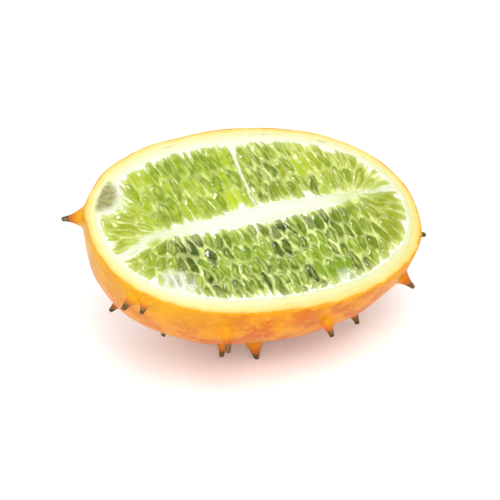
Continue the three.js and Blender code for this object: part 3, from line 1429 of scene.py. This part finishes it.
@dataclass(frozen=True)
class WhiteWalls:
    """The outer wall, the core, the septa and the pad at the stalk, which leave rooms on the cut face."""

    fruit: FruitShape

    # Outer wall, core, septa and stalk pad
    depth: float = 6.0
    end_depth: float = 4.4
    core_middle: FlatPlace = (2.8, 1.4)
    core_angle: float = math.radians(4.4)
    core_start: float = -42.0
    core_half_thick: float = 3.0
    core_end_half_thick: float = 0.6
    core_taper_reach: float = 38.0
    core_taper_power: float = 1.5
    septa: tuple[Septum, ...] = (
        Septum((2.0, 2.0), (4.0, 40.0)),
        Septum((-37.0, -1.6), (-56.0, -11.0), half_thick=0.7, feathered=True),
    )
    stalk_middle: FlatPlace = (-49.5, 20.5)
    stalk_radius: float = 9.5

    # Where the core's white fades: along it, at its left end, and by depth under the skin
    core_fade_span: Span = (20.0, 36.0)
    core_fade_left: float = 0.6
    core_fade_depths: Span = (7.0, 11.0)

    # Rounding and bending of the walls' edges
    corner: float = 0.45
    corner_limits: Span = (-30.0, 60.0)
    warps: tuple[Warp, ...] = (
        Warp(Wave(0.9, 7.0, NoiseField.WALL_ALONG), Wave(0.9, 7.0, NoiseField.WALL_ACROSS)),
        Warp(Wave(0.35, 2.4, NoiseField.FINE_WALL_ALONG), Wave(0.35, 2.4, NoiseField.FINE_WALL_ACROSS)),
    )

    # How rooms are traced and floored
    rays: int = 720
    ray_step: float = 0.2
    ray_halvings: int = 10
    floor_spacing: float = 3.0
    floor_clear: float = 1.0

    def core_frame(self, points: Array) -> tuple[Array, Array]:
        """Measure where flat points lie from the core.

        Args:
            points: Flat points of the cut face.

        Returns:
            Their places along and across the core.
        """
        offsets = points - np.array(self.core_middle)
        cos, sin = math.cos(self.core_angle), math.sin(self.core_angle)
        return offsets @ (cos, sin), offsets @ (-sin, cos)

    def core_clearance(self, points: Array) -> Array:
        """Measure how far flat points lie from the core's side.

        Args:
            points: Flat points of the cut face.

        Returns:
            The distance of each, positive outside the core.
        """
        along, across = self.core_frame(points)
        taper = 1.0 - np.minimum(1.0, np.abs(along) / self.core_taper_reach) ** self.core_taper_power
        extra = self.core_half_thick - self.core_end_half_thick
        beyond = np.maximum(self.core_start - along, 0.0)
        return np.hypot(across, beyond) - self.core_end_half_thick - extra * taper

    def core_fade(self, points: Array) -> Array:
        """Give the share of its white that the core loses towards its ends.

        Args:
            points: Flat points of the cut face.

        Returns:
            The share at each point.
        """
        along, _ = self.core_frame(points)
        off_wall = smooth_step(self.core_fade_depths, self.fruit.depth_on_cut(points))
        right = smooth_step(self.core_fade_span, along)
        left = smooth_step(self.core_fade_span, -along)
        return (right + self.core_fade_left * left) * off_wall

    def stalk_clearance(self, points: Array) -> Array:
        """Give the distance of flat points from the pad at the stalk."""
        return np.linalg.norm(points - np.array(self.stalk_middle), axis=1) - self.stalk_radius

    def clearance(self, points: Array, feathered_only: bool = False) -> Array:
        """Measure how far flat points lie inside a room.

        Args:
            points: Flat points of the cut face.
            feathered_only: Whether septa with a clean edge are left out.

        Returns:
            About the distance to the nearest white wall, positive in a room.
        """
        bent = points
        for warp in self.warps:
            bent = bent + warp.shift(points)
        gaps = [self.fruit.depth_on_cut(bent, self.depth, self.end_depth), self.core_clearance(bent)]
        septa = [septum for septum in self.septa if septum.feathered or not feathered_only]
        gaps += [self.stalk_clearance(bent)] + [septum.clearance(bent) for septum in septa]
        # A soft minimum rounds the corners between two walls
        total = sum(np.exp(-np.clip(gap, *self.corner_limits) / self.corner) for gap in gaps)
        return -self.corner * np.log(total)

    def outline(self, middle: FlatPlace, spacing: float) -> Array:
        """Find the edge of a room along rays from a point in it.

        Args:
            middle: A point from which the whole room can be seen.
            spacing: Distance between two points of the edge.

        Returns:
            Points of the edge, in order and evenly spaced.
        """
        rays = circle(self.rays)
        inner, outer = np.zeros(len(rays)), np.full(len(rays), np.nan)
        # March out along the rays until each meets a wall
        for reach in np.arange(self.ray_step, self.fruit.half_length * 2.0, self.ray_step):
            going = np.isnan(outer)
            if not going.any():
                break
            clear = self.clearance(np.array(middle) + rays[going] * reach) > 0.0
            numbers = np.flatnonzero(going)
            inner[numbers[clear]] = reach
            outer[numbers[~clear]] = reach
        # Halve the last step of each ray to find the wall's edge
        for _ in range(self.ray_halvings):
            half = 0.5 * (inner + outer)
            clear = self.clearance(np.array(middle) + rays * half[:, None]) > 0.0
            inner, outer = np.where(clear, half, inner), np.where(clear, outer, half)
        return even_loop(np.array(middle) + rays * inner[:, None], spacing)

    def room_floor(self, loop: Array, least: float, inset: float) -> tuple[Array, Array]:
        """Give the floor of a room, which follows the outer wall.

        Args:
            loop: Edge of the room.
            least: Least depth under the cut face.
            inset: Depth of the floor under the skin.

        Returns:
            Its points, those under the edge first, and its faces.
        """
        flat = fill_loop(loop, self.floor_spacing, self.floor_clear)
        level = np.minimum(self.fruit.floor_under(flat, inset), -least)
        return np.column_stack((flat, level)), triangulate(flat, [len(loop)], Inside.LOOP)


@dataclass(frozen=True)
class HalfRings:
    """Half rings of sacs on one side of the core, of which the far side is 1 and the near one -1."""

    side: int
    count: int
    half_length: float
    first_reach: float
    pitch_out: float


@dataclass(frozen=True)
class SacField:
    """The rule that places the sacs in half rings round the core. The solids follow it too."""

    walls: WhiteWalls
    half_rings: tuple[HalfRings, ...] = (
        HalfRings(side=1, count=5, half_length=5.4, first_reach=8.2, pitch_out=8.8),
        HalfRings(side=-1, count=6, half_length=4.3, first_reach=7.0, pitch_out=6.9),
    )
    half_width: float = 1.7
    pitch_along: float = 3.3
    fan_half_length: float = 34.0
    shift_out: float = 1.9
    shift_along: float = 0.6
    turn: float = math.radians(11.0)
    wall_reach: float = 1.2
    gap: float = SOLIDS_GAP
    seed: int = 29

    # Streaks of the skins between sacs
    streak_fan: float = 16.0
    streak_middle: float = 0.5
    fine_streaks: Wave = Wave(0.35, 1.0, NoiseField.FINE_STREAKS)
    fine_stretch: float = 6.0
    coarse_streaks: Wave = Wave(0.35, 2.6, NoiseField.COARSE_STREAKS)
    coarse_stretch: float = 4.0

    def _ring_point(self, side: int, reach: float, distance: float) -> tuple[Array, float]:
        """Find a place on a half ring.

        Args:
            side: Side of the core.
            reach: Distance of the half ring from the core's middle line.
            distance: Distance along the half ring.

        Returns:
            The point, and the outward angle there.
        """
        straight = 2.0 * self.fan_half_length
        along = min(distance, straight) - self.fan_half_length
        turned = max(0.0, distance - straight) / reach
        angle = self.walls.core_angle + 0.5 * side * math.pi - turned
        core = np.array([math.cos(self.walls.core_angle), math.sin(self.walls.core_angle)])
        start = np.array(self.walls.core_middle) + side * along * core
        return start + reach * np.array([math.cos(angle), math.sin(angle)]), angle

    def places(self) -> Array:
        """Place the sacs.

        Returns:
            For each sac its two coordinates, the angle of its long axis and its half length.
        """
        stream = Stream(self.seed)
        rows = []
        for kind in self.half_rings:
            for ring in range(kind.count):
                reach = kind.first_reach + ring * kind.pitch_out
                length = 2.0 * self.fan_half_length + math.pi * reach
                count = math.floor(length / self.pitch_along)
                for number in range(count):
                    distance = length * (number + 0.5 * (ring % 2)) / count
                    middle, angle = self._ring_point(kind.side, reach, distance)
                    out = np.array([math.cos(angle), math.sin(angle)])
                    along = np.array([-out[1], out[0]])
                    middle = middle + self.shift_out * stream.either() * out
                    middle = middle + self.shift_along * stream.either() * along
                    rows.append((*middle, angle + self.turn * stream.either(), kind.half_length))
        rows = np.array(rows)
        inset = self.walls.depth + self.gap - self.wall_reach
        in_pulp = self.walls.fruit.depth_on_cut(rows[:, :2], inset) > 0.0
        in_pulp &= self.walls.core_clearance(rows[:, :2]) > -self.wall_reach
        return rows[in_pulp]

    def streaks(self, points: Array) -> Array:
        """Work out streaks that run out from the core, as the skins between sacs do.

        Args:
            points: Flat points of the cut face.

        Returns:
            A value of about 0 to 1 for each point.
        """
        along, across = self.walls.core_frame(points)
        past = np.maximum(np.abs(along) - self.fan_half_length, 0.0)
        turned = np.arctan2(past, np.maximum(np.abs(across), NEAR_ZERO))
        spread = np.clip(along, -self.fan_half_length, self.fan_half_length)
        spread = spread + np.sign(along) * turned * self.streak_fan
        reach = np.sign(across) * np.hypot(past, across)
        fine = self.fine_streaks.at(np.column_stack((spread, reach / self.fine_stretch)))
        coarse = self.coarse_streaks.at(np.column_stack((spread, reach / self.coarse_stretch)))
        return self.streak_middle + fine + coarse


@dataclass(frozen=True)
class SacMap:
    """The sac that each of some points belongs to.

    It holds the points' places along and across their sacs, how near each is to its sac's edge, from 0 at
    the middle to 1 at the edge, and the random shares of that sac.
    """

    along: Array
    across: Array
    edge: Array
    draws: Array

    def share(self, draw: SacDraw) -> Array:
        """Give a random share of each point's sac, from 0 to 1."""
        return self.draws[:, draw]

    def either(self, draw: SacDraw) -> Array:
        """Give a random share of each point's sac, from -1 to 1."""
        return 2.0 * self.draws[:, draw] - 1.0


@dataclass(frozen=True)
class MilkyPatch:
    """A place where a film of white lies over the sacs."""

    middle: FlatPlace
    reach: float
    share: float
    edge: Span = (0.2, 1.0)

    def share_at(self, points: Array) -> Array:
        """Give the share of white at flat points."""
        off = np.linalg.norm(points - np.array(self.middle), axis=1) / self.reach
        return self.share * (1.0 - smooth_step(self.edge, off))


@dataclass
class PulpLobe:
    """A room full of jelly sacs, cut open at the face."""

    room: Room
    middle: FlatPlace
    finish: PulpFinish
    walls: WhiteWalls
    field: SacField
    face: CutFace
    pose: Pose
    seed: int = 41
    spacing: float = 0.42
    edge_spacing: float = 0.6
    own_reach: float = 1.3
    warp: Warp = Warp(Wave(0.8, 4.0, NoiseField.SAC_ALONG), Wave(0.8, 4.0, NoiseField.SAC_ACROSS))

    # Relief of the cut sacs
    dome: float = 0.85
    dome_varies: float = 0.6
    dome_power: float = 2.2
    dome_flatness: float = 0.85
    dome_sunk: float = 0.6
    lift: float = 0.1
    lift_varies: float = 0.4
    level_power: int = 3
    slope: float = 0.22
    ripple: Wave = Wave(0.07, 1.2, NoiseField.SAC_RIPPLE)
    settle_reach: float = 1.1

    # Tone and ripeness of the sacs, and the seeds in them
    tone_patches: Wave = Wave(0.5, 11.0, NoiseField.TONE)
    seed_half_length: float = 2.3
    seed_half_width: float = 0.62
    seed_shift: float = 1.6
    seed_edge: Span = (0.5, 1.2)
    seed_span: Span = (0.35, 0.95)
    ripe_span: Span = (22.0, 46.0)

    # White that feathers in from the walls, films of white, and mist
    tooth: float = 10.0
    tooth_start: float = 0.48
    tooth_edge: Span = (0.1, 0.7)
    white_edge: Span = (0.0, 1.2)
    clean_edge: Span = (0.0, 0.4)
    core_fade_share: float = 0.6
    milky_patches: tuple[MilkyPatch, ...] = (
        MilkyPatch(middle=(-36.0, -23.5), reach=12.0, share=0.85),
        MilkyPatch(middle=(21.0, -30.0), reach=8.0, share=0.6),
    )
    milky_middle: float = 0.4
    mist_reach: float = 4.5

    # Hidden sides and floor
    least_depth: float = 3.0
    gap: float = SOLIDS_GAP
    hidden_share: float = 0.5

    @cached_property
    def outline(self) -> Array:
        """Give the edge of the room."""
        return self.walls.outline(self.middle, self.edge_spacing)

    def build(self) -> bpy.types.Object:
        """Build and dress the lobe.

        Returns:
            The piece.
        """
        draft = MeshDraft()
        loop = shrink_loop(self.outline, SEAM)
        edge = self._add_top(draft, loop)
        floor, faces = self.walls.room_floor(loop, self.least_depth, self.walls.depth + self.gap)
        draft.add_bowl(edge, floor, faces, **dict.fromkeys(draft.values, self.hidden_share))
        name = "jelly_" + self.room.value.removeprefix("pulp_")
        return draft.build(name, self.pose, self.finish.material())

    def _sacs(self, points: Array, loop: Array) -> SacMap:
        """Find the sac that each point belongs to.

        Args:
            points: Flat points.
            loop: Edge of the lobe.

        Returns:
            The points' sacs.
        """
        places = self.field.places()
        own = inside(places[:, :2], loop) | (distance_to(places[:, :2], loop) < self.own_reach)
        places = places[own]
        stream = Stream(self.seed)
        draws = np.array([[stream.share() for _ in SacDraw] for _ in places])
        bent = points + self.warp.shift(points)
        offsets = bent[:, None, :] - places[None, :, :2]
        cos, sin = np.cos(places[:, 2]), np.sin(places[:, 2])
        along = offsets[:, :, 0] * cos + offsets[:, :, 1] * sin
        across = offsets[:, :, 1] * cos - offsets[:, :, 0] * sin
        far = np.hypot(along / places[:, 3], across / self.field.half_width)
        # The nearest two sacs of each point, the nearest first
        order = np.argpartition(far, 1, axis=1)[:, :2]
        rows = np.arange(len(points))
        swap = far[rows, order[:, 0]] > far[rows, order[:, 1]]
        order[swap] = order[swap][:, ::-1]
        nearest, second = order.T
        edge = far[rows, nearest] / np.maximum(far[rows, second], NEAR_ZERO)
        return SacMap(along[rows, nearest], across[rows, nearest], edge, draws[nearest])

    def _relief(self, flat: Array, sacs: SacMap, clear: Array) -> Array:
        """Work out how far the cut sacs stand out of the face.

        Args:
            flat: Flat points.
            sacs: The points' sacs.
            clear: The points' distances from the white walls, where the sacs settle to the face.

        Returns:
            The height of each point over the face.
        """
        dome = self.dome * (1.0 + self.dome_varies * sacs.either(SacDraw.BULGE))
        lean = (sacs.share(SacDraw.LEAN_ALONG) - 0.5) * sacs.along
        lean = lean + (sacs.share(SacDraw.LEAN_ACROSS) - 0.5) * sacs.across
        level = self.lift + self.lift_varies * sacs.either(SacDraw.HEIGHT) + self.slope * lean
        rise = (1.0 - sacs.edge**self.dome_power) ** self.dome_flatness - self.dome_sunk
        relief = dome * rise + level * (1.0 - sacs.edge**self.level_power)
        relief += self.ripple.at(flat)
        settled = np.exp(-((clear / self.settle_reach) ** 2))
        return relief * (1.0 - settled)

    def _seeds(self, sacs: SacMap) -> Array:
        """Work out how much of the pale seed shows in each sac.

        Args:
            sacs: The points' sacs.

        Returns:
            The share of the seed's colour at each point.
        """
        along = sacs.along - self.seed_shift * (sacs.share(SacDraw.SEED_PLACE) - 0.5)
        off = np.hypot(along / self.seed_half_length, sacs.across / self.seed_half_width)
        shown = smooth_step(self.seed_span, sacs.share(SacDraw.SEED_SHARE))
        return (1.0 - smooth_step(self.seed_edge, off)) * shown

    def _whiteness(self, flat: Array, edge: Array, streak: Array, feathered: Array, clear: Array) -> Array:
        """Work out the white that feathers from the walls into the skins between sacs.

        Args:
            flat: Flat points.
            edge: How near each is to its sac's edge.
            streak: Streaks at the points.
            feathered: Their distances from the walls with a feathered edge.
            clear: Their distances from all walls.

        Returns:
            The share of white at each point.
        """
        teeth = self.tooth * np.maximum(streak - self.tooth_start, 0.0) * smooth_step(self.tooth_edge, edge)
        white = 1.0 - smooth_step(self.white_edge, feathered - teeth) * smooth_step(self.clean_edge, clear)
        white = white * (1.0 - self.core_fade_share * self.walls.core_fade(flat))
        film = self.milky_middle + (1.0 - self.milky_middle) * edge
        return np.maximum(white, sum(patch.share_at(flat) for patch in self.milky_patches) * film)

    def _add_top(self, draft: MeshDraft, loop: Array) -> Array:
        """Add the cut sacs.

        Args:
            draft: The mesh.
            loop: Edge of the lobe.

        Returns:
            The points of the edge.
        """
        flat = fill_loop(loop, self.spacing, GRID_CLEAR * self.spacing)
        sacs = self._sacs(flat, loop)
        streak = self.field.streaks(flat)
        feathered = self.walls.clearance(flat, feathered_only=True)
        clear = np.maximum(self.walls.clearance(flat), 0.0)
        clear[: len(loop)] = 0.0
        level = self.face.level(flat) + self._relief(flat, sacs, clear)
        points = np.column_stack((flat, level))
        draft.add(
            points,
            triangulate(flat, [len(loop)], Inside.LOOP),
            sac_edge=sacs.edge,
            sac_tone=sacs.share(SacDraw.TONE) + self.tone_patches.at(flat),
            sac_seed=self._seeds(sacs),
            white=self._whiteness(flat, sacs.edge, streak, feathered, clear),
            mist=1.0 - smooth_step((0.0, self.mist_reach), feathered),
            ripe=smooth_step(self.ripe_span, np.abs(flat[:, 0])),
            streak=streak,
        )
        return points[: len(loop)]


@dataclass
class Flesh:
    """The white wall, core and septa, hollow where the pulp lies."""

    fruit: FruitShape
    pose: Pose
    face: CutFace
    walls: WhiteWalls
    lobes: list[PulpLobe]
    finish: FleshFinish = FleshFinish()
    inset: float = RIND_THICKNESS + SEAM
    spacing: float = 0.9
    fibres: Wave = Wave(0.1, 1.8, NoiseField.FIBRES)
    stalk_fade: float = 3.0
    stalk_depths: Span = (2.5, 4.0)
    outside_from_pulp: float = 3.0

    def build(self) -> bpy.types.Object:
        """Build and dress the flesh.

        Returns:
            The piece.
        """
        draft = MeshDraft()
        edges = self._add_face(draft, [lobe.outline for lobe in self.lobes])
        for lobe, edge in zip(self.lobes, edges):
            least = lobe.least_depth + lobe.gap
            floor, faces = self.walls.room_floor(edge[:, :2], least, self.walls.depth)
            hidden = {"inset": self.walls.depth, "ripe": 0.0, "from_pulp": 0.0, "stalk": 0.0, "fade": 0.0}
            draft.add_bowl(edge, floor, faces, **hidden)
        self._add_outside(draft)
        return draft.build("white_flesh", self.pose, self.finish.material())

    def _add_face(self, draft: MeshDraft, loops: list[Array]) -> list[Array]:
        """Add the cut face round the rooms.

        Args:
            draft: The mesh.
            loops: Edges of the rooms.

        Returns:
            The points of each room's edge.
        """
        rim = self.fruit.rim(self.inset)
        flat = fill_loop(rim, self.spacing, GRID_CLEAR * self.spacing, loops)
        counts = [len(loop) for loop in (rim, *loops)]
        on_edge = sum(counts)
        points = self.face.raised(flat)
        points[on_edge:, 2] += self.fibres.at(flat[on_edge:])
        depth = self.fruit.depth_on_cut(flat)
        stalk = smooth_step((0.0, self.stalk_fade), -self.walls.stalk_clearance(flat))
        draft.add(
            points,
            triangulate(flat, counts, Inside.LOOP_WITHOUT_HOLES),
            inset=depth,
            ripe=self.face.ripeness(flat),
            from_pulp=np.maximum(-self.walls.clearance(flat), 0.0),
            stalk=stalk * smooth_step(self.stalk_depths, depth),
            fade=self.walls.core_fade(flat),
        )
        starts = np.cumsum(counts)
        return [points[start : start + len(loop)] for start, loop in zip(starts, loops)]

    def _add_outside(self, draft: MeshDraft) -> None:
        """Add the bowl that lies in the rind.

        Args:
            draft: The mesh.
        """
        disk = disk_rings(INSIDE_RINGS, RIM_POINTS)
        points = self.fruit.on_skin(disk_directions(disk), self.inset)
        points[:RIM_POINTS] = self.face.raised(self.fruit.rim(self.inset))
        draft.add(
            points,
            triangulate(disk, [], Inside.HULL),
            inset=self.inset,
            ripe=self.face.ripeness(points),
            from_pulp=self.outside_from_pulp,
            stalk=0.0,
            fade=0.0,
        )


@dataclass(frozen=True)
class Lamp:
    """A square lamp: its place and the length of its sides in metres, and its power in watts."""

    name: str
    place: Place
    side: float
    power: float
    glints_only: bool = False

    def hang(self, target: Vector) -> None:
        """Hang the lamp in the scene.

        Args:
            target: The point that it faces.
        """
        light = bpy.data.lights.new(self.name, "AREA")
        light.size = self.side
        light.energy = self.power
        holder = add_object(self.name, light)
        holder.location = self.place
        holder.rotation_euler = (target - Vector(self.place)).to_track_quat("-Z", "Y").to_euler()
        holder.visible_diffuse = not self.glints_only


@dataclass
class Studio:
    """White board, soft light and a camera at the photograph's viewing angle."""

    azimuth: float = math.radians(-22.0)
    elevation: float = math.radians(33.0)
    lens: float = 300.0
    distance: float = 1.36
    target: Place = (0.0, 0.0, 0.030)
    floor_half_size: float = 4.0
    sky: float = 1.02
    sky_colour: Colour = (1.0, 1.0, 1.0, 1.0)
    finish: FloorFinish = FloorFinish()
    lamps: tuple[Lamp, ...] = (
        Lamp("overhead_softbox", place=(-0.10, -0.50, 0.95), side=0.6, power=5.6),
        Lamp("front_fill", place=(-0.5, -1.0, 0.6), side=0.9, power=4.2),
        Lamp("glint_lamp", place=(-0.1, 0.55, 1.0), side=0.3, power=9.0, glints_only=True),
    )

    def build(self) -> None:
        """Build the floor, the lights, the sky and the camera."""
        self._add_floor()
        for lamp in self.lamps:
            lamp.hang(Vector(self.target))
        self._add_sky()
        self._add_camera()
        bpy.context.scene.view_settings.view_transform = "Standard"

    def _add_floor(self) -> None:
        """Add the board."""
        half = self.floor_half_size
        mesh = bpy.data.meshes.new("white_board")
        corners = [(-half, -half, 0.0), (half, -half, 0.0), (half, half, 0.0), (-half, half, 0.0)]
        mesh.from_pydata(corners, [], [(0, 1, 2, 3)])
        mesh.materials.append(self.finish.material())
        add_object("white_board", mesh)

    def _add_sky(self) -> None:
        """Add even white light from all round."""
        world = bpy.data.worlds.new("soft_white_sky")
        world.use_nodes = True
        background = world.node_tree.nodes["Background"]
        background.inputs["Color"].default_value = self.sky_colour
        background.inputs["Strength"].default_value = self.sky
        bpy.context.scene.world = world

    def _add_camera(self) -> None:
        """Add the camera."""
        camera = bpy.data.cameras.new("camera")
        camera.lens = self.lens
        flat = math.cos(self.elevation)
        across, back = math.sin(self.azimuth) * flat, -math.cos(self.azimuth) * flat
        toward = Vector((across, back, math.sin(self.elevation)))
        holder = add_object("camera", camera)
        holder.location = Vector(self.target) + self.distance * toward
        holder.rotation_euler = toward.to_track_quat("Z", "Y").to_euler()
        bpy.context.scene.camera = holder


def dress(piece: bpy.types.Object, node: str) -> None:
    """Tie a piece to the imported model.

    Args:
        piece: The piece.
        node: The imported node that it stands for.
    """
    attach(piece, BODY)
    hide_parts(node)
    LOG.info("%s stands for %s", piece.name, node)


def main() -> None:
    """Build the half fruit and the studio, and report each piece."""
    logging.basicConfig(level=logging.INFO, format="%(message)s")
    fruit = FruitShape()
    pose = Pose.settled(fruit, RIND_THICKNESS + SOLIDS_GAP)
    face = CutFace()
    walls = WhiteWalls(fruit)
    sacs = SacField(walls)
    lobes = [
        PulpLobe(Room.NEAR, (0.0, -16.0), GREEN_JELLY, walls, sacs, face, pose),
        PulpLobe(Room.FAR_LEFT, (-24.0, 16.0), LIME_JELLY, walls, sacs, face, pose),
        PulpLobe(Room.FAR_RIGHT, (24.0, 17.0), PALE_JELLY, walls, sacs, face, pose),
    ]
    Studio().build()
    dress(Rind(fruit, pose, face).build(), RIND_NODE)
    dress(Flesh(fruit, pose, face, walls, lobes).build(), FLESH_NODE)
    for lobe in lobes:
        dress(lobe.build(), lobe.room.value)


if __name__ == "__main__":
    main()
